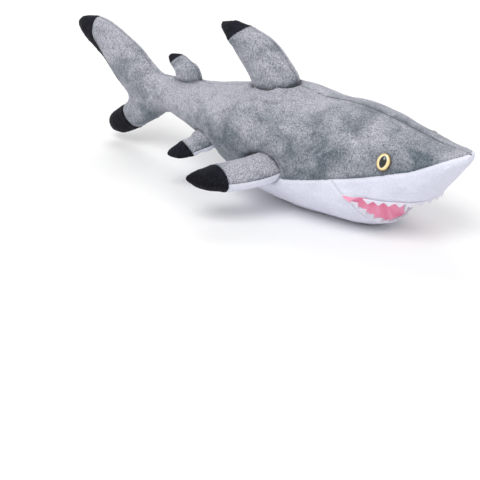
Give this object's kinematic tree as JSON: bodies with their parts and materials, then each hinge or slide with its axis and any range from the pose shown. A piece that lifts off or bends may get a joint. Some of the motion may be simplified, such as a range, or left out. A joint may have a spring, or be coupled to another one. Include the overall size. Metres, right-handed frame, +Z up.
{
  "type": "plush shark",
  "caption": "Stuffed plush shark with an open felt-toothed mouth, button eyes, a soft tail and flapping fins; it rests on its belly.",
  "frame": {"origin": "on the floor, under the middle of the belly", "axes": "+X to the nose, +Y to the shark's left, +Z up"},
  "size_m": [0.4321, 0.1944, 0.1413],
  "materials": {
    "grey_plush": "short mottled pile",
    "white_plush": "short white pile",
    "black_plush": "short black pile",
    "mouth_lining": "smooth pink tricot",
    "felt": "white felt",
    "eye_shell": "pale gold gloss",
    "pupil": "black gloss",
    "washer": "natural plastic",
    "stuffing": "polyester fibre",
    "thread": "dark polyester thread"
  },
  "bodies": {
    "trunk": {"trunk_skin_right": "grey_plush", "trunk_skin_left": "grey_plush", "belly_panel": "white_plush", "snout_panel": "white_plush", "palate_lining": "mouth_lining", "trunk_stuffing": "stuffing", "upper_teeth": "felt", "eye_right": "eye_shell", "eye_left": "eye_shell", "pupil_right": "pupil", "pupil_left": "pupil", "eye_washer_right": "washer", "eye_washer_left": "washer", "back_seam_thread": "thread"},
    "lower_jaw": {"jaw_panel": "white_plush", "mouth_floor_lining": "mouth_lining", "jaw_stuffing": "stuffing", "lower_teeth": "felt"},
    "rear_body": {"tail_skin_right": "grey_plush", "tail_skin_left": "grey_plush", "tail_belly_panel": "white_plush", "tail_stuffing": "stuffing"},
    "caudal_fin": {"caudal_skin_right": "grey_plush", "caudal_skin_left": "grey_plush", "caudal_tip_upper": "black_plush", "caudal_tip_lower": "black_plush", "caudal_stuffing": "stuffing"},
    "dorsal_fin": {"dorsal_skin_right": "grey_plush", "dorsal_skin_left": "grey_plush", "dorsal_tip": "black_plush", "dorsal_stuffing": "stuffing"},
    "second_dorsal_fin": {"second_dorsal_skin_right": "grey_plush", "second_dorsal_skin_left": "grey_plush", "second_dorsal_tip": "black_plush", "second_dorsal_stuffing": "stuffing"},
    "pectoral_right": {"pectoral_top_right": "grey_plush", "pectoral_bottom_right": "grey_plush", "pectoral_tip_right": "black_plush", "pectoral_stuffing_right": "stuffing"},
    "pelvic_right": {"pelvic_top_right": "grey_plush", "pelvic_bottom_right": "grey_plush", "pelvic_tip_right": "black_plush", "pelvic_stuffing_right": "stuffing"},
    "pectoral_left": {"pectoral_top_left": "grey_plush", "pectoral_bottom_left": "grey_plush", "pectoral_tip_left": "black_plush", "pectoral_stuffing_left": "stuffing"},
    "pelvic_left": {"pelvic_top_left": "grey_plush", "pelvic_bottom_left": "grey_plush", "pelvic_tip_left": "black_plush", "pelvic_stuffing_left": "stuffing"}
  },
  "joints": [
    {"name": "jaw_hinge", "type": "hinge", "parent": "trunk", "child": "lower_jaw", "pos_m": [0.088, 0, 0.037], "axis": [0, 1, 0], "range_deg": [-20, 6], "stiffness_Nm_per_rad": 0.05},
    {"name": "tail_bend", "type": "hinge", "parent": "trunk", "child": "rear_body", "pos_m": [-0.096, 0, 0.06], "axis": [0, 0, 1], "range_deg": [-20, 20], "stiffness_Nm_per_rad": 0.1},
    {"name": "caudal_sway", "type": "hinge", "parent": "rear_body", "child": "caudal_fin", "pos_m": [-0.154, 0, 0.06], "axis": [0, 0, 1], "range_deg": [-20, 20], "stiffness_Nm_per_rad": 0.05},
    {"name": "dorsal_sway", "type": "hinge", "parent": "trunk", "child": "dorsal_fin", "pos_m": [-0.016, 0, 0.0978], "axis": [0.9744, 0, 0.225], "range_deg": [-15, 15], "stiffness_Nm_per_rad": 0.02},
    {"name": "second_dorsal_sway", "type": "hinge", "parent": "rear_body", "child": "second_dorsal_fin", "pos_m": [-0.115, 0, 0.0802], "axis": [0.9945, 0, 0.1045], "range_deg": [-15, 15], "stiffness_Nm_per_rad": 0.005},
    {"name": "pectoral_flap_right", "type": "hinge", "parent": "trunk", "child": "pectoral_right", "pos_m": [0.012, -0.048, 0.042], "axis": [1, 0, 0], "range_deg": [-15, 15], "stiffness_Nm_per_rad": 0.02},
    {"name": "pelvic_flap_right", "type": "hinge", "parent": "trunk", "child": "pelvic_right", "pos_m": [-0.065, -0.031, 0.046], "axis": [1, 0, 0], "range_deg": [-15, 15], "stiffness_Nm_per_rad": 0.005},
    {"name": "pectoral_flap_left", "type": "hinge", "parent": "trunk", "child": "pectoral_left", "pos_m": [0.012, 0.048, 0.042], "axis": [1, 0, 0], "range_deg": [-15, 15], "stiffness_Nm_per_rad": 0.02},
    {"name": "pelvic_flap_left", "type": "hinge", "parent": "trunk", "child": "pelvic_left", "pos_m": [-0.065, 0.031, 0.046], "axis": [1, 0, 0], "range_deg": [-15, 15], "stiffness_Nm_per_rad": 0.005}
  ]
}
